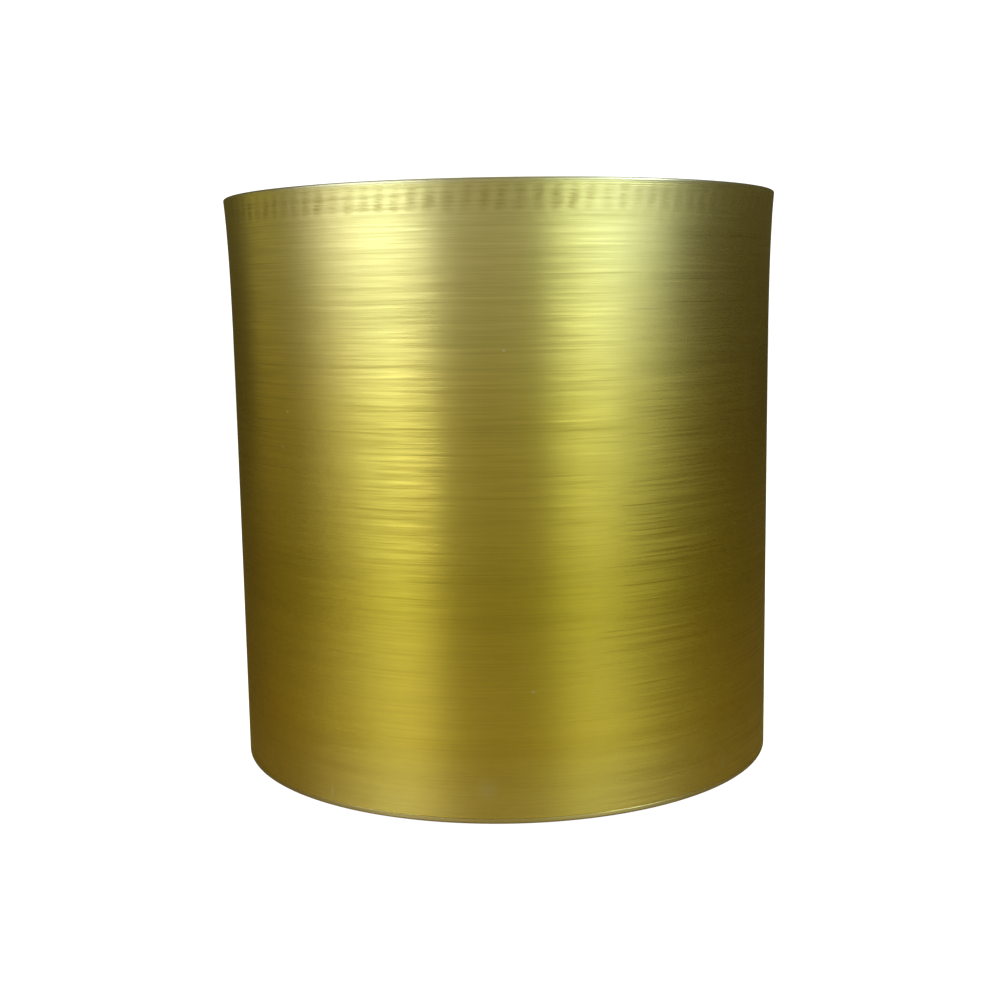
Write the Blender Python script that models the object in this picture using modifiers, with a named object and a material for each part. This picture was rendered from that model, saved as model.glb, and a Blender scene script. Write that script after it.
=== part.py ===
"""Brass planter pot, in metres with +Z up. The origin is on the pot's axis, at floor level.

A rolled brass wall with a flared mouth stands on a soldered base plate. Felt pads keep the plate
off the floor, and a moulded plastic liner with two grip tabs lifts out of the mouth.
"""

import math

import bmesh
import bpy

# Brass shell
RIM_RADIUS = 0.1000  # outside of the flared mouth
BODY_RADIUS = 0.0984  # outside of the straight wall, and of the base plate
BRASS_HEIGHT = 0.2034  # from the underside of the base plate to the rim
FLARE_POWER = 10.5  # how late the wall leaves the straight: higher is later
FLARE_START = 0.6  # share of the wall's height below which it counts as straight
WALL_SHEET = 0.0012
PLATE_SHEET = 0.0015
PLATE_EDGE_ROUND = 0.0008
SOLDER_LEG = 0.0025  # height and width of the fillet in the inner corner
SOLDER_TIP = 0.0003  # thickness of the fillet where it runs out

# Felt pads
PAD_COUNT = 4
PAD_RADIUS = 0.0075
PAD_THICKNESS = 0.0015
PAD_INSET = 0.0140  # from the edge of the base plate to the edge of a pad
PAD_EDGE_ROUND = 0.0003

# Liner
LINER_CLEARANCE = 0.0020  # between the liner's lip and the inside of the brass wall
LINER_DROP = 0.0150  # from the brass rim down to the top of the lip
LINER_WALL = 0.0016
LINER_FLOOR = 0.0020
LINER_TAPER = 0.0090  # how much smaller the wall's radius is at the foot than under the lip
LINER_ROUND = 0.0040  # inner corner between wall and floor
LIP_DEPTH = 0.0080  # height of the turned-down skirt
LIP_GAP = 0.0020  # between the skirt and the wall behind it
FOOT_RING_WIDTH = 0.0080
FOOT_RING_HEIGHT = 0.0010
TAB_RADIUS = 0.0160
TAB_THICKNESS = 0.0020
TAB_DROP = 0.0030  # from the top of the lip to the top of a grip tab

# Shared
JOINT_GAP = 0.0003  # left between pieces that touch
SEGMENTS = 72  # round the pot
FLARE_STEPS = 8  # up the flare
PAD_SEGMENTS = 32
MERGE_DISTANCE = 0.00001
SMOOTH_ANGLE = math.radians(35)

# Levels, from the floor up
PLATE_BOTTOM = PAD_THICKNESS + JOINT_GAP
PLATE_TOP = PLATE_BOTTOM + PLATE_SHEET
WALL_BOTTOM = PLATE_TOP + JOINT_GAP
RIM_TOP = PLATE_BOTTOM + BRASS_HEIGHT
RIM_SHOULDER = RIM_TOP - WALL_SHEET / 2  # where the rounded rim edge begins
LINER_BOTTOM = PLATE_TOP + JOINT_GAP
LINER_TOP = RIM_TOP - LINER_DROP

# Radii, from the wall inwards
WALL_INSIDE = BODY_RADIUS - WALL_SHEET
LIP_RADIUS = WALL_INSIDE - LINER_CLEARANCE
LINER_OUTSIDE = LIP_RADIUS - LINER_WALL - LIP_GAP  # of the liner's wall, under its lip
LINER_MOUTH = LINER_OUTSIDE - LINER_WALL


def collection(name):
    """A new collection in the scene."""
    made = bpy.data.collections.new(name)
    bpy.context.scene.collection.children.link(made)
    return made


def material(name, colour, roughness, metallic=0.0):
    """A Principled material in one colour."""
    made = bpy.data.materials.new(name)
    made.use_nodes = True
    shader = made.node_tree.nodes["Principled BSDF"]
    shader.inputs["Base Color"].default_value = (*colour, 1.0)
    shader.inputs["Roughness"].default_value = roughness
    shader.inputs["Metallic"].default_value = metallic
    made.diffuse_color = (*colour, 1.0)
    return made


def arc(centre, radius, start, end, steps=4):
    """Points (radius from the axis, height) on a round, from one angle in degrees to another."""
    points = []
    for step in range(steps + 1):
        angle = math.radians(start + (end - start) * step / steps)
        points.append((centre[0] + radius * math.cos(angle), centre[1] + radius * math.sin(angle)))
    return points


def turned(name, outline, into, closed=False):
    """An outline of (radius, height) points, turned about Z. It runs down its outer side.

    An open outline starts and ends on the axis. A closed one makes a ring.
    """
    mesh = bpy.data.meshes.new(name)
    form = bmesh.new()
    corners = [form.verts.new((radius, 0.0, height)) for radius, height in outline]
    for first, second in zip(corners, corners[1:]):
        form.edges.new((first, second))
    if closed:
        form.edges.new((corners[-1], corners[0]))
    form.to_mesh(mesh)
    form.free()
    made = bpy.data.objects.new(name, mesh)
    into.objects.link(made)
    screw = made.modifiers.new("turn", "SCREW")
    screw.axis = "Z"
    screw.angle = math.tau
    screw.steps = SEGMENTS
    screw.render_steps = SEGMENTS
    screw.use_smooth_shade = True
    screw.use_merge_vertices = True
    screw.merge_threshold = MERGE_DISTANCE
    return made


def disc(name, radius, thickness, place, segments, into):
    """A round disc about its own origin, put at its place."""
    mesh = bpy.data.meshes.new(name)
    form = bmesh.new()
    bmesh.ops.create_cone(
        form, cap_ends=True, segments=segments, radius1=radius, radius2=radius, depth=thickness
    )
    form.to_mesh(mesh)
    form.free()
    mesh.shade_smooth()
    mesh.set_sharp_from_angle(angle=SMOOTH_ANGLE)
    made = bpy.data.objects.new(name, mesh)
    made.location = place
    into.objects.link(made)
    return made


def combine(target, tool, operation):
    """A Boolean with a guide object, which stays out of the render."""
    cut = target.modifiers.new(operation.lower(), "BOOLEAN")
    cut.operation = operation
    cut.solver = "EXACT"
    cut.object = tool
    tool.hide_render = True
    tool.display_type = "WIRE"


def wall_radius(height):
    """Outside radius of the brass wall: straight from the plate, then curving out to the rim."""
    rise = (height - WALL_BOTTOM) / (RIM_SHOULDER - WALL_BOTTOM)
    return BODY_RADIUS + (RIM_RADIUS - BODY_RADIUS) * rise**FLARE_POWER


def pot_wall(into):
    """The sheet wall, with its rim edge rounded over."""
    flare_bottom = WALL_BOTTOM + FLARE_START * (RIM_SHOULDER - WALL_BOTTOM)
    climb = (RIM_SHOULDER - flare_bottom) / FLARE_STEPS
    heights = [flare_bottom + climb * step for step in range(FLARE_STEPS + 1)]
    outside = [(wall_radius(height), height) for height in heights]
    inside = [(radius - WALL_SHEET, height) for radius, height in outside]
    edge = WALL_SHEET / 2
    rim = arc((RIM_RADIUS - edge, RIM_SHOULDER), edge, 180, 0)[1:-1]
    foot = [(BODY_RADIUS, WALL_BOTTOM), (WALL_INSIDE, WALL_BOTTOM)]
    wall = turned("pot_wall", inside + rim + outside[::-1] + foot, into, closed=True)
    wall.data.materials.append(material("wall_brass", (0.72, 0.56, 0.19), 0.32, 1.0))


def base_plate(into):
    """The disc under the wall, flush with it, with its lower edge eased."""
    round_centre = (BODY_RADIUS - PLATE_EDGE_ROUND, PLATE_BOTTOM + PLATE_EDGE_ROUND)
    outline = [(0.0, PLATE_TOP), (BODY_RADIUS, PLATE_TOP)]
    outline += arc(round_centre, PLATE_EDGE_ROUND, 0, -90)
    outline.append((0.0, PLATE_BOTTOM))
    plate = turned("base_plate", outline, into)
    plate.data.materials.append(material("plate_brass", (0.66, 0.50, 0.16), 0.40, 1.0))


def solder_fillet(into):
    """The hollow-faced run of solder between the wall and the plate."""
    outer = WALL_INSIDE - JOINT_GAP
    floor = PLATE_TOP + JOINT_GAP
    face = arc((outer - SOLDER_LEG, floor + SOLDER_LEG), SOLDER_LEG - SOLDER_TIP, -90, 0, 5)
    outline = [(outer, floor + SOLDER_LEG), (outer, floor), (outer - SOLDER_LEG, floor)] + face
    fillet = turned("solder_fillet", outline, into, closed=True)
    fillet.data.materials.append(material("solder", (0.55, 0.55, 0.53), 0.45, 1.0))


def foot_pads(into):
    """Felt pads evenly round the underside, each flat on the floor."""
    felt = material("felt", (0.10, 0.07, 0.05), 0.95)
    circle = BODY_RADIUS - PAD_INSET - PAD_RADIUS
    for number in range(PAD_COUNT):
        angle = math.tau * (number + 0.5) / PAD_COUNT
        place = (circle * math.cos(angle), circle * math.sin(angle), PAD_THICKNESS / 2)
        name = f"foot_pad_{number + 1}"
        pad = disc(name, PAD_RADIUS, PAD_THICKNESS, place, PAD_SEGMENTS, into)
        pad.data.materials.append(felt)
        edge = pad.modifiers.new("eased edge", "BEVEL")
        edge.width = PAD_EDGE_ROUND
        edge.segments = 1
        edge.limit_method = "ANGLE"


def liner_outline():
    """The liner's section: inside, over the lip, down the skirt and the wall, and the foot ring."""
    edge = LINER_WALL / 2
    floor_top = LINER_BOTTOM + FOOT_RING_HEIGHT + LINER_FLOOR
    foot_outside = LINER_OUTSIDE - LINER_TAPER
    foot_inside = foot_outside - LINER_WALL
    ring_inside = foot_outside - FOOT_RING_WIDTH
    outline = [(0.0, floor_top)]
    outline += arc((foot_inside - LINER_ROUND, floor_top + LINER_ROUND), LINER_ROUND, -90, 0)
    outline += arc((LINER_MOUTH + edge, LINER_TOP - edge), edge, 180, 90)
    outline += arc((LIP_RADIUS - edge, LINER_TOP - edge), edge, 90, 0)
    outline += [
        (LIP_RADIUS, LINER_TOP - LIP_DEPTH),
        (LIP_RADIUS - LINER_WALL, LINER_TOP - LIP_DEPTH),
        (LIP_RADIUS - LINER_WALL, LINER_TOP - LINER_WALL),
        (LINER_OUTSIDE, LINER_TOP - LINER_WALL),
    ]
    outline += arc((foot_outside - edge, LINER_BOTTOM + edge), edge, 0, -90)
    outline += [
        (ring_inside, LINER_BOTTOM),
        (ring_inside - FOOT_RING_HEIGHT, LINER_BOTTOM + FOOT_RING_HEIGHT),
        (0.0, LINER_BOTTOM + FOOT_RING_HEIGHT),
    ]
    return outline


def liner(into, guides):
    """The moulded inner pot, with a half-moon grip tab on each side of its mouth."""
    pot = turned("liner", liner_outline(), into)
    pot.data.materials.append(material("liner_plastic", (0.035, 0.035, 0.035), 0.55))
    tab_height = LINER_TOP - TAB_DROP - TAB_THICKNESS / 2
    reach = LINER_MOUTH + LINER_WALL / 2  # a tab runs into the middle of the wall
    room_depth = 2 * TAB_THICKNESS
    for number, side in enumerate((-1, 1), start=1):
        place = (side * LINER_MOUTH, 0.0, tab_height)
        middle = (0.0, 0.0, tab_height)
        tab = disc(f"tab_{number}", TAB_RADIUS, TAB_THICKNESS, place, SEGMENTS, guides)
        room = disc(f"tab_room_{number}", reach, room_depth, middle, SEGMENTS, guides)
        combine(tab, room, "INTERSECT")
        combine(pot, tab, "UNION")


for old in list(bpy.data.objects):
    bpy.data.objects.remove(old)

planter = collection("brass_planter_pot")
cutters = collection("cutters")
pot_wall(planter)
base_plate(planter)
solder_fillet(planter)
foot_pads(planter)
liner(planter, cutters)
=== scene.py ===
import math

import bmesh
import bpy
from mathutils import Matrix, Vector, noise


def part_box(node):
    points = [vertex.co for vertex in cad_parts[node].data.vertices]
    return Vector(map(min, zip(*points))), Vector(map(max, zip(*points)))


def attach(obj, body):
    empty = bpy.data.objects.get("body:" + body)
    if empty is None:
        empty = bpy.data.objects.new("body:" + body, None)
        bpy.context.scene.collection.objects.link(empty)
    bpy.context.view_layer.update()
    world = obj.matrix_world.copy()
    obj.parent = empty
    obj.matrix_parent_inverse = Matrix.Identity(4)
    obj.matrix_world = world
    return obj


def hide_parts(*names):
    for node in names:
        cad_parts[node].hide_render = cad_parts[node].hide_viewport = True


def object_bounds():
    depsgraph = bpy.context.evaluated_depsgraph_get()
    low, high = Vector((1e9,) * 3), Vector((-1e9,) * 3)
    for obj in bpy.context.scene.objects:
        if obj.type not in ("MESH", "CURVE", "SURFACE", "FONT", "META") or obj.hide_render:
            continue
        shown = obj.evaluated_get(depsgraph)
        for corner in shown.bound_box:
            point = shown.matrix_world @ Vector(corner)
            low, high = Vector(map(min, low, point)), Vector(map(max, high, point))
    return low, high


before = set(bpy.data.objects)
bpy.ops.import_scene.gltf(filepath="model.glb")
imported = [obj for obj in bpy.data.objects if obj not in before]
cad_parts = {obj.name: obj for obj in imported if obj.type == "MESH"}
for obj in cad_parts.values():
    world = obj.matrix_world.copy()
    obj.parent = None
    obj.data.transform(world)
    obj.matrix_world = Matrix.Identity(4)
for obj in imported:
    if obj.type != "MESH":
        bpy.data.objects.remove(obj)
cad_low, cad_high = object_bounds()

# ---------------------------------------------------------------------------------------------
# Wall. One brass sheet, rolled into a cylinder, its butt seam brazed at the back and ground
# flush. It is turned on a lathe: brushed round and round, and chattered under the flared rim.
wall_low, wall_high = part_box("pot_wall")
plate_low, plate_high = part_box("base_plate")
RIM_RADIUS = wall_high.x
BODY_RADIUS = plate_high.x
RIM_TOP = wall_high.z
WALL_BOTTOM = wall_low.z
SHEET = 0.0012
RIM_EDGE = SHEET / 2
FLARE_POWER = 10.5  # as the CAD wall: how late it leaves the straight
FOOT_CHAMFER = 0.0002
CHATTER_LOBES = 114  # round the rim
CHATTER_ROWS = 7  # feed lines across each lobe
CHATTER_START = 0.0014  # below the rim
CHATTER_BAND = 0.0104
CHATTER_CUT = 0.00005
CHATTER_LEAN = 1.3  # radians that a lobe leans over the band
POLISHED_RING = 0.0040  # below the chatter
POLISHED_SHINE = 0.35
WALL_SEGMENTS = CHATTER_LOBES * 8
SECTORS = 12  # a turned shape is spun through one sector, which is then copied round
BAND_RINGS = 42
FLARE_RINGS = 12
STRAIGHT_SHARE = 0.6  # of the wall's height, below which it doesn't curve
SEAM_DIP = 0.00004
RIM_GROOVES = (0.0011, 0.0017, 0.0024)  # depth below the rim of each turned line
GROOVE_CUT = 0.00003
GROOVE_HALF = 0.00012
POLISH = 0.000001  # taken off the outside by the last pass


def arc(centre, radius, start, end, steps):
    """Points (radius from the axis, height) on a round, from one angle in degrees to another."""
    angles = [math.radians(start + (end - start) * step / steps) for step in range(steps + 1)]
    return [(centre[0] + radius * math.cos(a), centre[1] + radius * math.sin(a)) for a in angles]


def evenly(start, end, steps):
    """Numbers from start to end, both included."""
    return [start + (end - start) * step / steps for step in range(steps + 1)]


def spun(outline, segments, closed=False):
    """A bmesh of an outline of (radius, height) points, turned once round Z."""
    form = bmesh.new()
    corners = [form.verts.new((0.0, radius, height)) for radius, height in outline]
    pairs = list(zip(corners, corners[1:]))
    if closed:
        pairs.append((corners[-1], corners[0]))
    line = [form.edges.new(pair) for pair in pairs]
    bmesh.ops.spin(
        form, geom=corners + line, axis=(0, 0, 1), cent=(0, 0, 0), angle=math.tau / SECTORS,
        steps=segments // SECTORS, use_merge=False, use_duplicate=False,
    )
    sector = form.verts[:] + form.edges[:] + form.faces[:]
    for number in range(1, SECTORS):
        copy = bmesh.ops.duplicate(form, geom=sector)["geom"]
        moved = [part for part in copy if isinstance(part, bmesh.types.BMVert)]
        turned = Matrix.Rotation(math.tau * number / SECTORS, 3, "Z")
        bmesh.ops.rotate(form, verts=moved, cent=(0, 0, 0), matrix=turned)
    bmesh.ops.remove_doubles(form, verts=form.verts, dist=0.000001)
    bmesh.ops.recalc_face_normals(form, faces=form.faces)
    return form


def around(place):
    """The angle of a point round the pot, 0 at the seam, which is at the back."""
    return math.atan2(-place.x, place.y) % math.tau


def lay_out(form, share_of):
    """A UV map: share_of, such as the height, along U, and the turn round the pot along V."""
    layer = form.loops.layers.uv.new("OFBake")
    for face in form.faces:
        middle = around(face.calc_center_median())
        for corner in face.loops:
            turn = around(corner.vert.co)
            if turn - middle > math.pi:
                turn -= math.tau
            elif middle - turn > math.pi:
                turn += math.tau
            corner[layer].uv = (share_of(corner.vert.co, face), turn / math.tau)


def piece(name, form, body, slot, *materials, sharp=30):
    """Makes the finished object of a bmesh, which rides on a body, with the materials given. The slot is
    not used.
    """
    mesh = bpy.data.meshes.new(name)
    form.to_mesh(mesh)
    form.free()
    mesh.shade_smooth()
    mesh.set_sharp_from_angle(angle=math.radians(sharp))
    made = bpy.data.objects.new(name, mesh)
    bpy.context.scene.collection.objects.link(made)
    for material in materials:
        mesh.materials.append(material)
    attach(made, body)
    return made


def wall_radius(height):
    """Outside radius of the wall: straight, then curving out to the rim."""
    rise = (height - WALL_BOTTOM) / (RIM_TOP - RIM_EDGE - WALL_BOTTOM)
    return BODY_RADIUS + (RIM_RADIUS - BODY_RADIUS) * rise**FLARE_POWER


def chatter(turn, depth):
    """How far the tool bit in at this turn and depth below the rim: lobes crossed by feed lines."""
    across = (depth - CHATTER_START) / (CHATTER_BAND - CHATTER_START)
    if not 0 < across < 1:
        return 0.0
    ring = Vector((math.cos(turn), math.sin(turn), 0))
    shift = 2.2 * noise.noise(ring * 4) + 0.9 * noise.noise(ring * 40 + Vector((0, 0, 3 * across)))
    lobe = 0.5 + 0.5 * math.sin(CHATTER_LOBES * turn + CHATTER_LEAN * across + shift)
    feed = 0.5 + 0.5 * math.cos(math.tau * CHATTER_ROWS * across + 2.5 * noise.noise(ring * 25))
    strength = 0.85 + 0.5 * noise.noise(ring * 14 + Vector((0, 0, 2 * across)))
    return CHATTER_CUT * strength * lobe * (0.6 + 0.4 * feed) * math.sin(math.pi * across) ** 0.5


def groove(depth):
    """How deep the fine lines turned at the very rim are."""
    nearest = min(abs(depth - line) for line in RIM_GROOVES)
    return GROOVE_CUT * max(0.0, 1 - nearest / GROOVE_HALF)


def polished(depth):
    """How much smoother the ring just under the chatter is."""
    share = (depth - CHATTER_BAND) / POLISHED_RING
    return POLISHED_SHINE * math.sin(math.pi * share) if 0 < share < 1 else 0.0


shoulder = RIM_TOP - RIM_EDGE
band_bottom = RIM_TOP - CHATTER_BAND
straight_top = WALL_BOTTOM + STRAIGHT_SHARE * (shoulder - WALL_BOTTOM)
heights = evenly(WALL_BOTTOM + FOOT_CHAMFER, straight_top, 3)
heights += evenly(straight_top, band_bottom, FLARE_RINGS)[1:]
heights += evenly(band_bottom, shoulder, BAND_RINGS)[1:]
for line in RIM_GROOVES:
    heights += [RIM_TOP - line + offset for offset in (-GROOVE_HALF, 0, GROOVE_HALF)]
heights = sorted(set(round(height, 6) for height in heights))
outside = [(wall_radius(height), height) for height in heights]
climb = [WALL_BOTTOM] + evenly(straight_top, shoulder, FLARE_RINGS)
inside = [(wall_radius(height) - SHEET, height) for height in climb]
rim = arc((RIM_RADIUS - RIM_EDGE, shoulder), RIM_EDGE, 180, 0, 8)[1:-1]
foot = [(BODY_RADIUS - FOOT_CHAMFER, WALL_BOTTOM)]
wall = spun(inside + rim + outside[::-1] + foot, WALL_SEGMENTS, closed=True)
bitten = wall.verts.layers.float.new("chatter")
for vertex in wall.verts:
    place = vertex.co
    reach = math.hypot(place.x, place.y)
    if reach > wall_radius(min(place.z, shoulder)) - SHEET / 2:
        turn = around(place)
        depth = RIM_TOP - place.z
        cut = POLISH + chatter(turn, depth) + groove(depth)
        vertex[bitten] = chatter(turn, depth) / CHATTER_CUT - polished(depth)
        if min(turn, math.tau - turn) < math.pi / WALL_SEGMENTS:
            cut += SEAM_DIP
        place.xy *= (reach - cut) / reach


def wall_share(place, face):
    """The outside takes the lower six tenths of the map, and the inside the rest."""
    outer = math.hypot(place.x, place.y) > wall_radius(min(place.z, shoulder)) - SHEET / 2
    height = (place.z - WALL_BOTTOM) / (RIM_TOP - WALL_BOTTOM)
    return 0.6 * height if outer else 1 - 0.4 * height


lay_out(wall, wall_share)


def node(tree, kind, sockets=None, **settings):
    """A new node with its settings, and its inputs linked to sockets or set to values."""
    made = tree.nodes.new(kind)
    for name, value in settings.items():
        setattr(made, name, value)
    for name, value in (sockets or {}).items():
        if isinstance(value, bpy.types.NodeSocket):
            tree.links.new(value, made.inputs[name])
        else:
            made.inputs[name].default_value = value
    return made


def group(name, inputs, outputs):
    """A new shader node group and its input and output nodes. Sockets are (name, kind, value)."""
    tree = bpy.data.node_groups.new(name, "ShaderNodeTree")
    for label, kind, value in inputs:
        socket = tree.interface.new_socket(label, in_out="INPUT", socket_type=f"NodeSocket{kind}")
        if value is not None:
            socket.default_value = value
    for label, kind in outputs:
        tree.interface.new_socket(label, in_out="OUTPUT", socket_type=f"NodeSocket{kind}")
    return tree, tree.nodes.new("NodeGroupInput"), tree.nodes.new("NodeGroupOutput")


def streaks(tree, place, around_scale, up_scale, detail=2.0, rough=0.6, seed=0.0):
    """Noise drawn out round the pot: long marks round it, and fine ones up it."""
    drawn = node(tree, "ShaderNodeMapping", {
        "Vector": place, "Location": (seed, seed * 0.7, seed * 1.3),
        "Scale": (around_scale, around_scale, up_scale),
    })
    return node(tree, "ShaderNodeTexNoise", {
        "Vector": drawn.outputs[0], "Scale": 1.0, "Detail": detail, "Roughness": rough,
    }).outputs["Fac"]


def spread(tree, value, low, high, to_low=0.0, to_high=1.0):
    """A value's range from low to high, stretched to another and held there."""
    return node(tree, "ShaderNodeMapRange", {
        "Value": value, "From Min": low, "From Max": high, "To Min": to_low, "To Max": to_high,
    }).outputs["Result"]


def sums(tree, operation, first, second):
    """One Math node."""
    return node(tree, "ShaderNodeMath", {0: first, 1: second}, operation=operation).outputs[0]


def brushing_group():
    """Lines left by an abrasive pad on a turning pot: fine lines, bands, long scores, and a normal."""
    tree, given, made = group(
        "brushing",
        [("Place", "Vector", None), ("Depth", "Float", 0.000003), ("Sway", "Float", 0.1)],
        [("Lines", "Float"), ("Bands", "Float"), ("Scores", "Float"), ("Normal", "Vector")],
    )
    place = given.outputs["Place"]
    fine = streaks(tree, place, 40, 2600, 2.0, 0.7)
    middling = streaks(tree, place, 18, 1500, 2.0, 0.6, 3.0)
    lines = sums(tree, "ADD", sums(tree, "MULTIPLY", fine, 0.5), sums(tree, "MULTIPLY", middling, 0.5))
    bands = streaks(tree, place, 5, 210, 3.0, 0.6, 7.0)
    pale = spread(tree, streaks(tree, place, 16, 1400, 2.0, 0.5, 5.0), 0.60, 0.72)
    dark = spread(tree, streaks(tree, place, 12, 1600, 2.0, 0.5, 9.0), 0.56, 0.68)
    scores = sums(tree, "SUBTRACT", pale, dark)
    sway = sums(tree, "SUBTRACT", streaks(tree, place, 30, 1300, 2.0, 0.6, 11.0), 0.5)
    sway = sums(tree, "MULTIPLY", sway, given.outputs["Sway"])
    round_way = node(tree, "ShaderNodeVectorMath", {0: (0, 0, 1), 1: place}, operation="CROSS_PRODUCT")
    unit_way = node(tree, "ShaderNodeVectorMath", {0: round_way.outputs[0]}, operation="NORMALIZE")
    world_way = node(
        tree, "ShaderNodeVectorTransform", {"Vector": unit_way.outputs[0]},
        vector_type="VECTOR", convert_from="OBJECT", convert_to="WORLD",
    )
    push = node(
        tree, "ShaderNodeVectorMath", {0: world_way.outputs[0], "Scale": sway}, operation="SCALE"
    )
    surface = node(tree, "ShaderNodeNewGeometry").outputs["Normal"]
    swayed = node(tree, "ShaderNodeVectorMath", {0: surface, 1: push.outputs[0]}, operation="ADD")
    unit = node(tree, "ShaderNodeVectorMath", {0: swayed.outputs[0]}, operation="NORMALIZE")
    bump = node(tree, "ShaderNodeBump", {
        "Height": lines, "Distance": given.outputs["Depth"], "Normal": unit.outputs[0],
    })
    tree.links.new(lines, made.inputs["Lines"])
    tree.links.new(bands, made.inputs["Bands"])
    tree.links.new(scores, made.inputs["Scores"])
    tree.links.new(bump.outputs[0], made.inputs["Normal"])
    return tree


def wear_group():
    """Handling: soft clouds where hands and cloths have been, and small pale specks."""
    tree, given, made = group(
        "wear",
        [("Place", "Vector", None), ("Cloud size", "Float", 22.0), ("Speck size", "Float", 160.0)],
        [("Cloud", "Float"), ("Specks", "Float")],
    )
    place = given.outputs["Place"]
    cloud = node(tree, "ShaderNodeTexNoise", {
        "Vector": place, "Scale": given.outputs["Cloud size"], "Detail": 3.0,
    }).outputs["Fac"]
    cells = node(tree, "ShaderNodeTexVoronoi", {"Vector": place, "Scale": given.outputs["Speck size"]})
    near = spread(tree, cells.outputs["Distance"], 0.04, 0.09, 1.0, 0.0)
    chosen = node(tree, "ShaderNodeSeparateColor", {"Color": cells.outputs["Color"]}).outputs[0]
    some = spread(tree, chosen, 0.93, 0.95)
    tree.links.new(cloud, made.inputs["Cloud"])
    tree.links.new(sums(tree, "MULTIPLY", near, some), made.inputs["Specks"])
    return tree


brushing = brushing_group()
wear = wear_group()


def ramp(tree, value, *stops):
    """A colour ramp of (position, colour) stops."""
    made = node(tree, "ShaderNodeValToRGB", {"Fac": value})
    ends = made.color_ramp.elements
    while len(ends) < len(stops):
        ends.new(0.5)
    for end, (position, colour) in zip(ends, stops):
        end.position = position
        end.color = (*colour, 1)
    return made.outputs["Color"]


def tinted(tree, share, first, second, way="MIX"):
    """Two colours mixed by a share, or multiplied."""
    made = node(tree, "ShaderNodeMix", data_type="RGBA", blend_type=way)
    for socket, value in ((made.inputs[0], share), (made.inputs[6], first), (made.inputs[7], second)):
        if isinstance(value, bpy.types.NodeSocket):
            tree.links.new(value, socket)
        else:
            socket.default_value = value
    return made.outputs[2]


LINE_SHADE = (0.82, 0.80, 0.72)  # a dark line's share of the brass's colour
LINE_GLOSS = 0.10
SCORE_GLOSS = 0.05


def brass(name, tone_of, depth, sway, rough, grain, blemish=None):
    """Brushed brass. Its highlights are drawn out across the lines, strongest half-way up."""
    made = bpy.data.materials.new(name)
    made.use_nodes = True
    tree = made.node_tree
    shader = tree.nodes["Principled BSDF"]
    place = node(tree, "ShaderNodeTexCoord").outputs["Object"]
    marks = node(tree, "ShaderNodeGroup", {}, node_tree=brushing)
    handled = node(tree, "ShaderNodeGroup", {}, node_tree=wear)
    tree.links.new(place, marks.inputs["Place"])
    tree.links.new(place, handled.inputs["Place"])
    marks.inputs["Depth"].default_value = depth
    marks.inputs["Sway"].default_value = sway
    height = node(tree, "ShaderNodeSeparateXYZ", {"Vector": place}).outputs["Z"]
    bands = sums(tree, "MULTIPLY", marks.outputs["Bands"], 0.35)
    scores = sums(tree, "MULTIPLY", marks.outputs["Scores"], 0.12)
    mixed = sums(tree, "ADD", marks.outputs["Lines"], bands)
    mixed = spread(tree, sums(tree, "ADD", mixed, scores), 0.44, 0.80)
    shade = ramp(tree, mixed, (0.0, LINE_SHADE), (1.0, (1.0, 1.0, 1.0)))
    colour = tinted(tree, 1.0, tone_of(tree, height), shade, "MULTIPLY")
    lined = spread(tree, marks.outputs["Lines"], 0.3, 0.7, LINE_GLOSS, -LINE_GLOSS)
    above = spread(tree, height, 0.09, 0.17, 1.6, 0.5)
    below = spread(tree, height, 0.04, 0.09, 0.8, 1.6)
    lined = sums(tree, "MULTIPLY", lined, sums(tree, "MINIMUM", above, below))
    touched = spread(tree, handled.outputs["Cloud"], 0.3, 0.7, rough - 0.02, rough + 0.03)
    dull = sums(tree, "ADD", lined, touched)
    dull = sums(tree, "SUBTRACT", dull, sums(tree, "MULTIPLY", marks.outputs["Scores"], SCORE_GLOSS))
    if blemish:
        colour, dull = blemish(tree, place, colour, dull)
    tree.links.new(colour, shader.inputs["Base Color"])
    tree.links.new(dull, shader.inputs["Roughness"])
    tree.links.new(marks.outputs["Normal"], shader.inputs["Normal"])
    shader.inputs["Metallic"].default_value = 1.0
    shader.inputs["Anisotropic"].default_value = grain
    tangent = node(tree, "ShaderNodeTangent", direction_type="UV_MAP", uv_map="OFBake")
    tree.links.new(tangent.outputs[0], shader.inputs["Tangent"])
    return made


def wall_tone_with_painted_light(tree, height):
    """Brass colour with painted light up the wall: a bright painted floor reflection at the foot, darker
    half-way up, a paler, bluer painted highlight towards the mouth, near white at the rim.
    """
    share = spread(tree, height, WALL_BOTTOM, RIM_TOP)
    return ramp(
        tree, share,
        # These stops paint light into the brass: a floor reflection at the foot, highlights towards the
        # mouth and at the rim.
        (0.0, (1.0, 0.80, 0.180)), (0.12, (0.92, 0.70, 0.086)), (0.35, (0.71, 0.555, 0.057)),
        (0.65, (0.74, 0.61, 0.128)), (0.993, (0.97, 0.89, 0.385)), (1.0, (1.0, 0.98, 0.72)),
    )


SEAM_HALF = 0.00045
TINT_HALF = 0.0035
CHATTER_COLOUR = (0.56, 0.45, 0.12, 1)
CHATTER_TINT = 0.60
CHATTER_DULL = 0.10
SEAM_SHARE = 0.75
TINT_SHARE = 0.35
KNOCK_DULL = 0.03
SEAM_COLOUR = (0.62, 0.52, 0.22, 1)
TINT_COLOUR = (0.70, 0.42, 0.10, 1)
SPECK_COLOUR = (0.98, 0.93, 0.62, 1)
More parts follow.
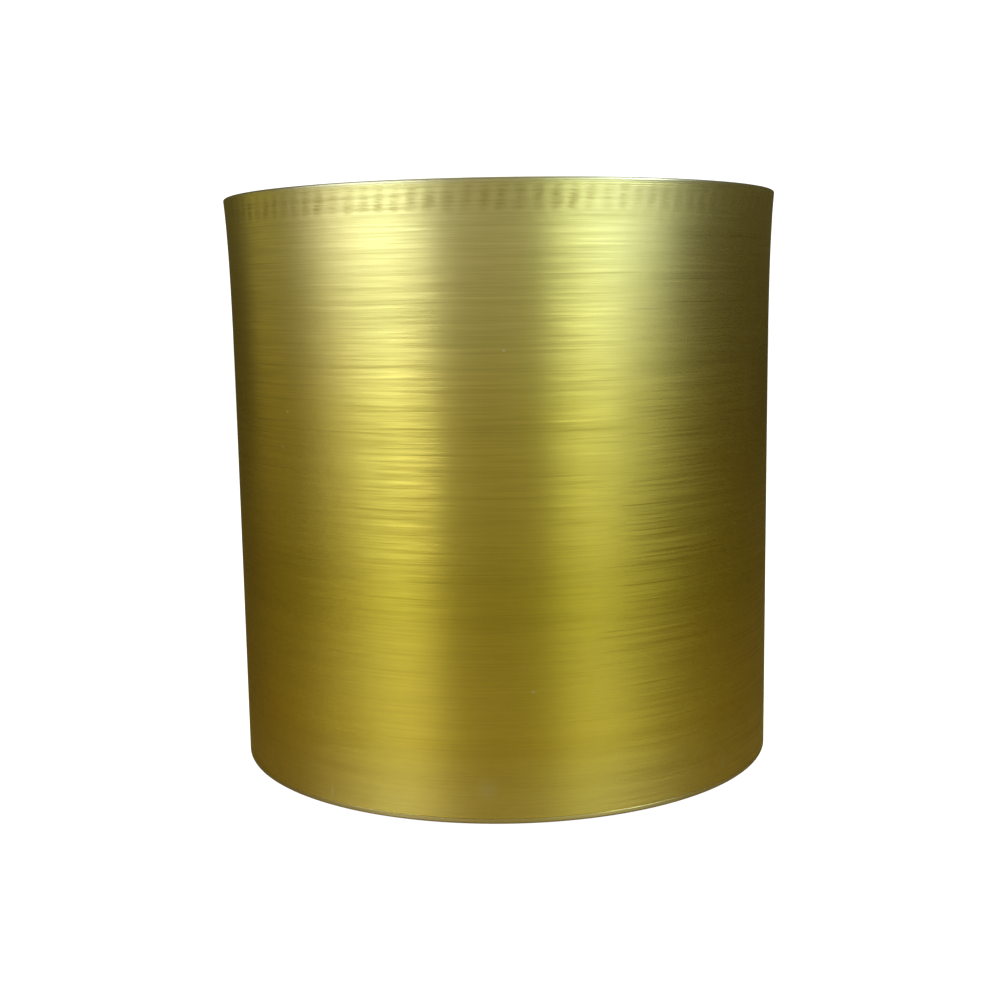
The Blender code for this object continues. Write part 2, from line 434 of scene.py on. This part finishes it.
# Small knocks and smears: degrees round from the front, height, half width, half height, strength
KNOCKS = (
    (-45.7, 0.1333, 0.0009, 0.0006, 0.7),
    (-47.8, 0.1215, 0.0007, 0.0005, 0.6),
    (0.5, 0.1533, 0.0008, 0.0005, 0.6),
    (5.0, 0.0453, 0.0009, 0.0006, 0.5),
    (-36.5, 0.0071, 0.0005, 0.0030, 0.5),
    (-3.8, 0.0132, 0.0045, 0.0050, 0.16),
    (49.1, 0.0105, 0.0022, 0.0030, 0.22),
    (57.2, 0.1370, 0.0016, 0.0150, 0.10),
)


def patch(tree, place, centre, size):
    """A soft spot, 1 at its centre."""
    away = node(tree, "ShaderNodeVectorMath", {0: place, 1: centre}, operation="SUBTRACT").outputs[0]
    shares = tuple(1 / side for side in size)
    scaled = node(tree, "ShaderNodeVectorMath", {0: away, 1: shares}, operation="MULTIPLY").outputs[0]
    length = node(tree, "ShaderNodeVectorMath", {0: scaled}, operation="LENGTH").outputs["Value"]
    return spread(tree, length, 0.2, 1.0, 1.0, 0.0)


def wall_blemish(tree, place, colour, dull):
    """Chatter, the brazed seam at the back with its heat tint, and a few knocks and smears."""
    bite = node(tree, "ShaderNodeAttribute", attribute_name="chatter").outputs["Fac"]
    ragged = spread(tree, streaks(tree, place, 160, 2200, 2.0, 0.6, 2.0), 0.35, 0.65, 0.35, 1.15)
    bite = sums(tree, "MULTIPLY", bite, ragged)
    colour = tinted(tree, sums(tree, "MULTIPLY", bite, CHATTER_TINT), colour, CHATTER_COLOUR)
    dull = sums(tree, "ADD", dull, sums(tree, "MULTIPLY", bite, CHATTER_DULL))
    sides = node(tree, "ShaderNodeSeparateXYZ", {"Vector": place}).outputs
    behind = sums(tree, "GREATER_THAN", sides["Y"], 0.0)
    off = sums(tree, "ABSOLUTE", sides["X"], 0.0)
    wander = spread(tree, streaks(tree, place, 3, 90, 2.0, 0.5, 4.0), 0.3, 0.7, -0.0001, 0.0001)
    off = sums(tree, "ADD", off, wander)
    seam = spread(tree, off, SEAM_HALF * 0.6, SEAM_HALF, SEAM_SHARE, 0.0)
    seam = sums(tree, "MULTIPLY", seam, behind)
    tint = spread(tree, off, SEAM_HALF, TINT_HALF, TINT_SHARE, 0.0)
    tint = sums(tree, "MULTIPLY", tint, behind)
    colour = tinted(tree, tint, colour, TINT_COLOUR)
    colour = tinted(tree, seam, colour, SEAM_COLOUR)
    for turn, height, half_width, half_height, strength in KNOCKS:
        angle = math.radians(turn)
        centre = (BODY_RADIUS * math.sin(angle), -BODY_RADIUS * math.cos(angle), height)
        spot = patch(tree, place, centre, (half_width, half_width, half_height))
        spot = sums(tree, "MULTIPLY", spot, strength)
        colour = tinted(tree, spot, colour, SPECK_COLOUR)
        dull = sums(tree, "ADD", dull, sums(tree, "MULTIPLY", spot, KNOCK_DULL))
    return colour, dull


# The wall's colour has painted reflections and highlights up its height.
wall_brass = brass("wall brass", wall_tone_with_painted_light, 0.000003, 0.06, 0.42, 0.60, wall_blemish)
pot_wall = piece("wall", wall, "pot", "wall_brass", wall_brass)
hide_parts("pot_wall")

# ---------------------------------------------------------------------------------------------
# Base plate. A brass disc, faced on the lathe, soldered under the wall and trimmed flush with it.
# Its lower edge is eased, and its underside keeps the rings and the centre mark of the lathe.
PLATE_EDGE = 0.0008
PLATE_CHAMFER = 0.00012
LAND_GAP = 0.00005  # between the land and the wall that stands on it
CENTRE_MARK = 0.0012
CENTRE_DEPTH = 0.0005
FACED_RINGS = (0.0120, 0.0470, 0.0800)  # radius of each deeper line under the plate
RING_CUT = 0.00004
RING_HALF = 0.0003
PLATE_SEGMENTS = 360

land_top = WALL_BOTTOM - LAND_GAP
land_start = BODY_RADIUS - SHEET - 0.0001
plate_outline = [(land_start * share, plate_high.z) for share in (0.0, 0.35, 0.7)]
plate_outline += [(land_start - 0.0002, plate_high.z), (land_start, land_top)]
plate_outline += [(BODY_RADIUS - PLATE_CHAMFER, land_top), (BODY_RADIUS, land_top - PLATE_CHAMFER)]
plate_outline += arc((BODY_RADIUS - PLATE_EDGE, plate_low.z + PLATE_EDGE), PLATE_EDGE, 0, -90, 8)
for ring in reversed(FACED_RINGS):
    for offset, cut in ((RING_HALF, 0.0), (0.0, RING_CUT), (-RING_HALF, 0.0)):
        plate_outline.append((ring + offset, plate_low.z + cut))
plate_outline += [(CENTRE_MARK, plate_low.z), (CENTRE_MARK * 0.3, plate_low.z + CENTRE_DEPTH * 0.8)]
plate_outline.append((0.0, plate_low.z + CENTRE_DEPTH))
plate = spun(plate_outline, PLATE_SEGMENTS)


def plate_share(place, face):
    """The underside takes the first four tenths of the map, the edge two, and the top the rest."""
    reach = math.hypot(place.x, place.y) / BODY_RADIUS
    if face.normal.z < -0.7:
        return 0.4 * reach
    if face.normal.z > 0.7:
        return 1 - 0.4 * reach
    return 0.4 + 0.2 * (place.z - plate_low.z) / (land_top - plate_low.z)


def plate_tone(tree, height):
    """Paler than the wall above it, and paler towards the top of the plate."""
    share = spread(tree, height, plate_low.z, plate_high.z)
    return ramp(tree, share, (0.0, (0.90, 0.74, 0.28)), (1.0, (0.99, 0.86, 0.36)))


lay_out(plate, plate_share)
plate_brass = brass("plate brass", plate_tone, 0.000004, 0.08, 0.40, 0.55)
base_plate = piece("base_disc", plate, "pot", "plate_brass", plate_brass)
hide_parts("base_plate")

# ---------------------------------------------------------------------------------------------
# Solder. A run of soft solder in the corner between the wall and the plate, fed in from inside.
# It froze with a hollow face, low waves and a toe that wanders over the plate.
SOLDER_LEG = 0.0025
SOLDER_TIP = 0.0003
SOLDER_SEGMENTS = 480
SOLDER_WAVE = 0.00035
SOLDER_STEPS = 12
solder_outer = BODY_RADIUS - SHEET - 0.0001
solder_floor = plate_high.z + 0.00005
solder_face = arc(
    (solder_outer - SOLDER_LEG, solder_floor + SOLDER_LEG), SOLDER_LEG - SOLDER_TIP, -90, 0, SOLDER_STEPS
)
solder_back = [(solder_outer, solder_floor + SOLDER_LEG), (solder_outer, solder_floor)]
solder_toe = [(solder_outer - SOLDER_LEG, solder_floor)]
solder = spun(solder_back + solder_toe + solder_face, SOLDER_SEGMENTS, closed=True)
for vertex in solder.verts:
    place = vertex.co
    reach = math.hypot(place.x, place.y)
    inset = solder_outer - reach
    if inset > SOLDER_TIP / 2 or place.z > solder_floor + SOLDER_LEG / 2:
        turn = around(place)
        ring = Vector((math.cos(turn), math.sin(turn), 0))
        wave = noise.noise(ring * 14) + 0.5 * noise.noise(ring * 41 + Vector((0, 0, place.z * 300)))
        place.xy *= (reach - SOLDER_WAVE * wave * min(1.0, inset / SOLDER_LEG)) / reach
        climb_share = (place.z - solder_floor) / SOLDER_LEG
        place.z += SOLDER_WAVE * 0.8 * noise.noise(ring * 19 + Vector((5, 0, 0))) * climb_share


def solder_material():
    """Dull grey tin alloy, with a skin that froze in patches and flux left on it here and there."""
    made = bpy.data.materials.new("soft solder")
    made.use_nodes = True
    tree = made.node_tree
    shader = tree.nodes["Principled BSDF"]
    place = node(tree, "ShaderNodeTexCoord").outputs["Object"]
    handled = node(tree, "ShaderNodeGroup", {}, node_tree=wear)
    tree.links.new(place, handled.inputs["Place"])
    handled.inputs["Cloud size"].default_value = 260
    frozen = node(tree, "ShaderNodeTexVoronoi", {"Vector": place, "Scale": 900}).outputs["Distance"]
    grey = ramp(
        tree, handled.outputs["Cloud"],
        (0.35, (0.34, 0.34, 0.33)), (0.55, (0.52, 0.52, 0.50)), (0.72, (0.42, 0.33, 0.16)),
    )
    tree.links.new(grey, shader.inputs["Base Color"])
    skin = spread(tree, handled.outputs["Cloud"], 0.3, 0.7, 0.36, 0.58)
    tree.links.new(skin, shader.inputs["Roughness"])
    bump = node(tree, "ShaderNodeBump", {"Height": frozen, "Distance": 0.00005})
    tree.links.new(bump.outputs[0], shader.inputs["Normal"])
    shader.inputs["Metallic"].default_value = 0.9
    return made


solder_run = piece("solder_run", solder, "pot", "solder", solder_material(), sharp=60)
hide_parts("solder_fillet")

# ---------------------------------------------------------------------------------------------
# Foot pads. Four discs of brown felt, punched from sheet and stuck under the plate. Each has a
# thin glue layer on top, a fuzzy cut edge and a face that the pot's weight has pressed flat.
PAD_RINGS = 12
PAD_SEGMENTS = 96
PAD_GLUE = 0.00015
PAD_EDGE = 0.0003
PAD_FUZZ = 0.00009
PAD_PRESSED = 0.00005


def pad_form(middle, radius, thickness):
    """A felt disc with soft edges, its fuzz pushed out of the cut side, and its glue layer."""
    form = bmesh.new()
    made = bmesh.ops.create_circle(form, cap_ends=True, segments=PAD_SEGMENTS, radius=radius)
    bmesh.ops.translate(form, verts=made["verts"], vec=(0, 0, thickness - PAD_GLUE))
    face = form.faces[:]
    side = bmesh.ops.extrude_face_region(form, geom=face)
    lower = [part for part in side["geom"] if isinstance(part, bmesh.types.BMVert)]
    bmesh.ops.translate(form, verts=lower, vec=(0, 0, PAD_GLUE - thickness))
    bmesh.ops.recalc_face_normals(form, faces=form.faces)
    rims = [edge for edge in form.edges if abs(edge.verts[0].co.z - edge.verts[1].co.z) < 0.000001]
    bmesh.ops.bevel(
        form, geom=rims, offset=PAD_EDGE, segments=3, profile=0.5, material=-1, affect="EDGES",
    )
    caps = [face for face in form.faces if len(face.verts) > 4]
    for step in range(PAD_RINGS):
        width = radius / (PAD_RINGS + 2)
        bmesh.ops.inset_region(form, faces=caps, thickness=width, use_even_offset=True)
    heights = {edge: abs(edge.verts[0].co.z - edge.verts[1].co.z) for edge in form.edges}
    uprights = [edge for edge in form.edges if heights[edge] > thickness / 3]
    bmesh.ops.subdivide_edges(form, edges=uprights, cuts=4)
    for vertex in form.verts:
        place = vertex.co
        reach = max(math.hypot(place.x, place.y), 0.000001)
        spot = (place + middle) * 2600
        if reach > radius * 0.93:
            place.xy *= 1 + PAD_FUZZ * (noise.noise(spot) - 0.6) / reach
        elif place.z < thickness / 2:
            place.z += PAD_PRESSED * (0.5 + 0.5 * noise.noise(spot * 0.4))
    glue = bmesh.ops.create_circle(form, cap_ends=True, segments=PAD_SEGMENTS, radius=radius * 0.985)
    bmesh.ops.translate(form, verts=glue["verts"], vec=(0, 0, thickness - PAD_GLUE))
    film = list({face for vertex in glue["verts"] for face in vertex.link_faces})
    lift = bmesh.ops.extrude_face_region(form, geom=film)
    upper = [part for part in lift["geom"] if isinstance(part, bmesh.types.BMVert)]
    bmesh.ops.translate(form, verts=upper, vec=(0, 0, PAD_GLUE * 0.9))
    film_verts = set(glue["verts"]) | set(upper)
    for face in form.faces:
        face.material_index = 1 if all(vertex in film_verts for vertex in face.verts) else 0
    bmesh.ops.recalc_face_normals(form, faces=form.faces)
    bmesh.ops.translate(form, verts=form.verts, vec=middle)
    return form


def felt_material():
    """Pressed wool felt: matted fibres in two browns, with pale flecks and a soft bloom."""
    made = bpy.data.materials.new("brown felt")
    made.use_nodes = True
    tree = made.node_tree
    shader = tree.nodes["Principled BSDF"]
    place = node(tree, "ShaderNodeTexCoord").outputs["Object"]
    bent = node(tree, "ShaderNodeTexNoise", {"Vector": place, "Scale": 700, "Detail": 2.0})
    wide = node(
        tree, "ShaderNodeVectorMath", {0: bent.outputs["Color"], "Scale": 0.004}, operation="SCALE",
    )
    tangled = node(tree, "ShaderNodeVectorMath", {0: place, 1: wide.outputs[0]}, operation="ADD")
    fibres = node(tree, "ShaderNodeTexNoise", {
        "Vector": tangled.outputs[0], "Scale": 3200, "Detail": 4.0, "Roughness": 0.7,
    }).outputs["Fac"]
    handled = node(tree, "ShaderNodeGroup", {}, node_tree=wear)
    tree.links.new(place, handled.inputs["Place"])
    handled.inputs["Cloud size"].default_value = 300
    handled.inputs["Speck size"].default_value = 1400
    brown = ramp(
        tree, fibres,
        (0.3, (0.045, 0.028, 0.018)), (0.55, (0.10, 0.066, 0.045)), (0.75, (0.17, 0.12, 0.085)),
    )
    flecked = tinted(tree, handled.outputs["Specks"], brown, (0.34, 0.28, 0.22, 1))
    bloom = spread(tree, handled.outputs["Cloud"], 0.3, 0.7, 0.88, 0.98)
    tree.links.new(flecked, shader.inputs["Base Color"])
    tree.links.new(bloom, shader.inputs["Roughness"])
    bump = node(tree, "ShaderNodeBump", {"Height": fibres, "Distance": 0.0001})
    tree.links.new(bump.outputs[0], shader.inputs["Normal"])
    shader.inputs["Sheen Weight"].default_value = 0.35
    shader.inputs["Sheen Roughness"].default_value = 0.6
    return made


def glue_material():
    """The adhesive film on a pad: yellowish, and a little shiny."""
    made = bpy.data.materials.new("pad glue")
    made.use_nodes = True
    tree = made.node_tree
    shader = tree.nodes["Principled BSDF"]
    place = node(tree, "ShaderNodeTexCoord").outputs["Object"]
    blots = node(tree, "ShaderNodeTexNoise", {"Vector": place, "Scale": 500, "Detail": 3.0})
    blots = blots.outputs["Fac"]
    amber = ramp(tree, blots, (0.35, (0.42, 0.34, 0.20)), (0.65, (0.58, 0.50, 0.34)))
    tree.links.new(amber, shader.inputs["Base Color"])
    tree.links.new(spread(tree, blots, 0.3, 0.7, 0.30, 0.50), shader.inputs["Roughness"])
    return made


felt = felt_material()
pad_glue = glue_material()
for number in range(1, 5):
    pad_low, pad_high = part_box(f"foot_pad_{number}")
    pad_middle = Vector(((pad_low.x + pad_high.x) / 2, (pad_low.y + pad_high.y) / 2, pad_low.z))
    pad_radius = (pad_high.x - pad_low.x) / 2
    pad = pad_form(pad_middle, pad_radius, pad_high.z - pad_low.z)
    pad_piece = piece(f"felt_pad_{number}", pad, "pot", "felt", felt, pad_glue, sharp=60)
    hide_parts(f"foot_pad_{number}")

# ---------------------------------------------------------------------------------------------
# Liner. An injection-moulded pot of black polypropylene that stands loose inside the brass one.
# It has a turned-down lip, a fill line, a foot ring, the stub of its gate and two grip tabs.
liner_low, liner_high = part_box("liner")
LINER_WALL = 0.0016
LINER_FLOOR = 0.0020
LINER_TAPER = 0.0090
LINER_ROUND = 0.0040
LIP_DEPTH = 0.0080
LIP_GAP = 0.0020
FOOT_RING_WIDTH = 0.0080
FOOT_RING_HEIGHT = 0.0010
FILL_LINE = 0.0280  # below the top of the lip
FILL_RISE = 0.00035
BEAD_RISE = 0.0003
GATE_RADIUS = 0.0022
FLOOR_RINGS = (0.018, 0.036, 0.054)
TAB_RADIUS = 0.0160
TAB_THICKNESS = 0.0020
TAB_DROP = 0.0030
TAB_EDGE = 0.0005
TAB_SEGMENTS = 96
RIDGE_COUNT = 4
RIDGE_PITCH = 0.0024
RIDGE_HALF = 0.0004
LINER_SEGMENTS = 288

lip_radius = liner_high.x
liner_outside = lip_radius - LINER_WALL - LIP_GAP
liner_mouth = liner_outside - LINER_WALL
liner_top = liner_high.z
liner_bottom = liner_low.z
edge = LINER_WALL / 2
floor_top = liner_bottom + FOOT_RING_HEIGHT + LINER_FLOOR
foot_outside = liner_outside - LINER_TAPER
foot_inside = foot_outside - LINER_WALL
ring_inside = foot_outside - FOOT_RING_WIDTH


def bead(line, centre, rise, half):
    """Adds a small raised bead to an outline, at a radius or a height along it."""
    radius, height = centre
    line += [(radius, height - half), (radius - rise * 0.8, height - half / 3)]
    line += [(radius - rise * 0.8, height + half / 3), (radius, height + half)]


def inside_radius(height):
    """Radius of the liner's inner face at a height."""
    share = (height - floor_top - LINER_ROUND) / (liner_top - edge - floor_top - LINER_ROUND)
    return foot_inside + (liner_mouth - foot_inside) * share


liner_line = [(0.0, floor_top)]
for ring in FLOOR_RINGS:
    liner_line += [(ring - 0.0005, floor_top), (ring - 0.0002, floor_top + BEAD_RISE)]
    liner_line += [(ring + 0.0002, floor_top + BEAD_RISE), (ring + 0.0005, floor_top)]
liner_line += arc((foot_inside - LINER_ROUND, floor_top + LINER_ROUND), LINER_ROUND, -90, 0, 8)
for height in evenly(floor_top + LINER_ROUND, liner_top - FILL_LINE - 0.004, 10)[1:]:
    liner_line.append((inside_radius(height), height))
fill_height = liner_top - FILL_LINE
bead(liner_line, (inside_radius(fill_height), fill_height), FILL_RISE, 0.0008)
for height in evenly(fill_height + 0.004, liner_top - edge, 3)[:-1]:
    liner_line.append((inside_radius(height), height))
liner_line += arc((liner_mouth + edge, liner_top - edge), edge, 180, 90, 6)
liner_line += arc((lip_radius - edge, liner_top - edge), edge, 90, 0, 6)
skirt_foot = liner_top - LIP_DEPTH
skirt_round = arc((lip_radius - edge, skirt_foot + edge), edge, 0, -180, 6)
liner_line += skirt_round
liner_line += [(lip_radius - LINER_WALL, liner_top - LINER_WALL - edge)]
liner_line += arc((lip_radius - LINER_WALL - edge, liner_top - LINER_WALL - edge), edge, 0, 90, 4)[1:]
liner_line += arc((liner_outside + edge, liner_top - LINER_WALL - edge), edge, 90, 180, 4)
under_lip = liner_top - LINER_WALL - edge
for share in evenly(0.0, 1.0, 10)[1:-1]:
    height = under_lip + (liner_bottom + edge - under_lip) * share
    liner_line.append((liner_outside - LINER_TAPER * share, height))
liner_line += arc((foot_outside - edge, liner_bottom + edge), edge, 0, -90, 6)
liner_line += arc((ring_inside + 0.0003, liner_bottom + 0.0003), 0.0003, -90, -180, 3)
liner_line += [(ring_inside - FOOT_RING_HEIGHT / 2, liner_bottom + FOOT_RING_HEIGHT)]
liner_line += [(GATE_RADIUS * 1.6, liner_bottom + FOOT_RING_HEIGHT)]
liner_line += [(GATE_RADIUS, liner_bottom + FOOT_RING_HEIGHT * 0.75)]
liner_line += [(GATE_RADIUS * 0.8, liner_bottom + FOOT_RING_HEIGHT * 0.45)]
liner_line += [(0.0, liner_bottom + FOOT_RING_HEIGHT * 0.4)]
liner = spun(liner_line, LINER_SEGMENTS)


def grip_tab(side):
    """A half-moon shelf inside the mouth, with rounded edges and ridges for the fingers."""
    form = bmesh.new()
    top = liner_top - TAB_DROP
    made = bmesh.ops.create_circle(form, cap_ends=True, segments=TAB_SEGMENTS, radius=TAB_RADIUS)
    bmesh.ops.translate(form, verts=made["verts"], vec=(side * liner_mouth, 0, top))
    for vertex in form.verts:
        reach = math.hypot(vertex.co.x, vertex.co.y)
        vertex.co.xy *= min(1.0, (liner_mouth + edge) / reach)
    lower = bmesh.ops.extrude_face_region(form, geom=form.faces[:])
    sunk = [part for part in lower["geom"] if isinstance(part, bmesh.types.BMVert)]
    bmesh.ops.translate(form, verts=sunk, vec=(0, 0, -TAB_THICKNESS))
    rims = [edge for edge in form.edges if abs(edge.verts[0].co.z - edge.verts[1].co.z) < 0.000001]
    bmesh.ops.recalc_face_normals(form, faces=form.faces)
    bmesh.ops.bevel(
        form, geom=rims, offset=TAB_EDGE, segments=3, profile=0.5, material=-1, affect="EDGES",
        clamp_overlap=True,
    )
    for number in range(RIDGE_COUNT):
        inset = 0.0040 + number * RIDGE_PITCH
        half_length = 0.75 * math.sqrt(TAB_RADIUS**2 - (inset + RIDGE_HALF) ** 2) - 0.001
        ridge = bmesh.ops.create_cube(form, size=1.0)["verts"]
        bmesh.ops.scale(form, verts=ridge, vec=(2 * RIDGE_HALF, 2 * half_length, 2 * RIDGE_HALF))
        bmesh.ops.translate(form, verts=ridge, vec=(side * (liner_mouth - inset), 0, top))
        borders = list({edge for vertex in ridge for edge in vertex.link_edges})
        bmesh.ops.bevel(
            form, geom=borders, offset=RIDGE_HALF * 0.6, segments=2, profile=0.5, material=-1,
            affect="EDGES",
        )
    bmesh.ops.recalc_face_normals(form, faces=form.faces)
    return form


def add_form(target, extra):
    """Adds one bmesh to another."""
    passing = bpy.data.meshes.new("passing")
    extra.to_mesh(passing)
    extra.free()
    target.from_mesh(passing)
    bpy.data.meshes.remove(passing)


for side in (-1, 1):
    add_form(liner, grip_tab(side))


def plastic_material():
    """Black moulded plastic: a fine spark-eroded grain, scuffs up and down, and dried water marks."""
    made = bpy.data.materials.new("black plastic")
    made.use_nodes = True
    tree = made.node_tree
    shader = tree.nodes["Principled BSDF"]
    place = node(tree, "ShaderNodeTexCoord").outputs["Object"]
    handled = node(tree, "ShaderNodeGroup", {}, node_tree=wear)
    tree.links.new(place, handled.inputs["Place"])
    handled.inputs["Speck size"].default_value = 420
    grain = node(tree, "ShaderNodeTexNoise", {
        "Vector": place, "Scale": 2400, "Detail": 3.0, "Roughness": 0.6,
    }).outputs["Fac"]
    upright = node(tree, "ShaderNodeMapping", {"Vector": place, "Scale": (900, 900, 18)}).outputs[0]
    rubbed = node(tree, "ShaderNodeTexNoise", {"Vector": upright, "Scale": 1.0, "Detail": 2.0})
    scuffs = spread(tree, rubbed.outputs["Fac"], 0.66, 0.78)
    black = ramp(
        tree, handled.outputs["Cloud"], (0.3, (0.022, 0.022, 0.023)), (0.7, (0.040, 0.040, 0.041)),
    )
    black = tinted(tree, sums(tree, "MULTIPLY", scuffs, 0.35), black, (0.11, 0.11, 0.11, 1))
    marked = sums(tree, "MULTIPLY", handled.outputs["Specks"], 0.5)
    black = tinted(tree, marked, black, (0.20, 0.19, 0.17, 1))
    tree.links.new(black, shader.inputs["Base Color"])
    gloss = spread(tree, handled.outputs["Cloud"], 0.3, 0.7, 0.42, 0.56)
    gloss = sums(tree, "ADD", gloss, sums(tree, "MULTIPLY", scuffs, 0.12))
    tree.links.new(gloss, shader.inputs["Roughness"])
    bump = node(tree, "ShaderNodeBump", {"Height": grain, "Distance": 0.00004})
    tree.links.new(bump.outputs[0], shader.inputs["Normal"])
    return made


liner_pot = piece("inner_pot", liner, "liner", "liner_plastic", plastic_material())
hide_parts("liner")

# ---------------------------------------------------------------------------------------------
# Studio. A plain pale floor and a pale room. Soft boxes stand left and right in front of the pot,
# with dim washes between and beside them, one overhead and one behind.
LENS = 50.86
SENSOR = 36.0
CAMERA_BACK = 0.5325  # from the pot's axis
CAMERA_RISE = 0.1681  # above the underside of the brass
CAMERA_PITCH = 0.1436  # radians down
CAMERA_YAW = 0.0023
CAMERA_ROLL = -0.0158
FLOOR_SIZE = 12.0
ROOM_COLOUR = (1.0, 0.82, 0.25, 1)
ROOM_STRENGTH = 0.06  # in what the metal mirrors
BACKDROP_STRENGTH = 1.2
BOX_DISTANCE = 1.5

camera_data = bpy.data.cameras.new("camera")
camera_data.lens = LENS
camera_data.sensor_width = SENSOR
camera = bpy.data.objects.new("camera", camera_data)
camera.location = (0.0, -CAMERA_BACK, plate_low.z + CAMERA_RISE)
camera.rotation_euler = (
    Matrix.Rotation(CAMERA_YAW, 3, "Z")
    @ Matrix.Rotation(math.pi / 2 - CAMERA_PITCH, 3, "X")
    @ Matrix.Rotation(CAMERA_ROLL, 3, "Z")
).to_euler()
bpy.context.scene.collection.objects.link(camera)
bpy.context.scene.camera = camera
bpy.context.scene.view_settings.view_transform = "Standard"

floor_form = bmesh.new()
bmesh.ops.create_grid(floor_form, x_segments=1, y_segments=1, size=FLOOR_SIZE / 2)
floor_mesh = bpy.data.meshes.new("floor")
floor_form.to_mesh(floor_mesh)
floor_form.free()
floor = bpy.data.objects.new("floor", floor_mesh)
bpy.context.scene.collection.objects.link(floor)


def floor_material():
    """Pale to the eye, and warmer in what the metal mirrors, as a wooden table would be."""
    made = bpy.data.materials.new("floor")
    made.use_nodes = True
    tree = made.node_tree
    tree.nodes.remove(tree.nodes["Principled BSDF"])
    seen = node(tree, "ShaderNodeLightPath").outputs["Is Camera Ray"]
    warm = node(tree, "ShaderNodeBsdfDiffuse", {"Color": (0.33, 0.24, 0.11, 1)})
    pale = node(tree, "ShaderNodeBsdfDiffuse", {"Color": (0.9, 0.9, 0.9, 1)})
    glow = node(tree, "ShaderNodeEmission", {"Color": (1, 1, 1, 1), "Strength": 1.0})
    shown = node(tree, "ShaderNodeAddShader", {0: pale.outputs[0], 1: glow.outputs[0]})
    both = node(tree, "ShaderNodeMixShader", {0: seen, 1: warm.outputs[0], 2: shown.outputs[0]})
    tree.links.new(both.outputs[0], tree.nodes["Material Output"].inputs["Surface"])
    return made


floor_mesh.materials.append(floor_material())

world = bpy.data.worlds.new("studio")
world.use_nodes = True
bpy.context.scene.world = world
seen = node(world.node_tree, "ShaderNodeLightPath").outputs["Is Camera Ray"]
room = world.node_tree.nodes["Background"]
room.inputs["Color"].default_value = ROOM_COLOUR
room.inputs["Strength"].default_value = ROOM_STRENGTH
white = node(
    world.node_tree, "ShaderNodeBackground", {"Color": (1, 1, 1, 1), "Strength": BACKDROP_STRENGTH},
)
either = node(
    world.node_tree, "ShaderNodeMixShader", {0: seen, 1: room.outputs[0], 2: white.outputs[0]},
)
surface = world.node_tree.nodes["World Output"].inputs["Surface"]
world.node_tree.links.new(either.outputs[0], surface)


def soft_box(name, turn, rise, width, height, power, colour):
    """An area light aimed at the pot. Turn is in degrees to the right of the camera."""
    data = bpy.data.lights.new(name, "AREA")
    data.shape = "RECTANGLE"
    data.size = width
    data.size_y = height
    data.energy = power
    data.color = colour
    made = bpy.data.objects.new(name, data)
    angle, lift = math.radians(turn), math.radians(rise)
    way = Vector((math.sin(angle) * math.cos(lift), -math.cos(angle) * math.cos(lift), math.sin(lift)))
    middle = (cad_low + cad_high) / 2
    made.location = middle + way * BOX_DISTANCE
    made.rotation_euler = (-way).to_track_quat("-Z", "Y").to_euler()
    made.visible_camera = False
    bpy.context.scene.collection.objects.link(made)


soft_box("left wash", -105, 3, 0.80, 0.25, 0.34, (1.0, 0.90, 0.30))
soft_box("left window edge", -79, 6, 0.35, 0.25, 0.32, (0.95, 0.92, 0.80))
soft_box("left window far", -63, 10, 0.45, 0.25, 1.50, (0.90, 0.90, 1.0))
soft_box("left window", -48, 3, 0.45, 0.25, 1.90, (0.75, 0.90, 1.0))
soft_box("left window near", -34, 2, 0.45, 0.25, 2.12, (0.84, 0.90, 1.0))
soft_box("left window high", -58, 32, 0.90, 0.60, 3.20, (0.85, 0.95, 1.0))
soft_box("front wash", -4, 3, 0.90, 0.25, 0.80, (1.0, 0.98, 0.85))
soft_box("right window near", 27, 6, 0.45, 0.25, 1.62, (0.85, 1.0, 0.80))
soft_box("right window", 40, 8, 0.40, 0.25, 1.75, (0.75, 0.90, 1.0))
soft_box("right window high", 58, 32, 0.52, 0.60, 8.60, (0.72, 0.88, 1.0))
soft_box("back window", 180, 40, 0.70, 0.60, 1.5, (1.0, 0.90, 0.30))
soft_box("roof light", 0, 82, 1.20, 1.20, 1.4, (1.0, 0.95, 0.60))
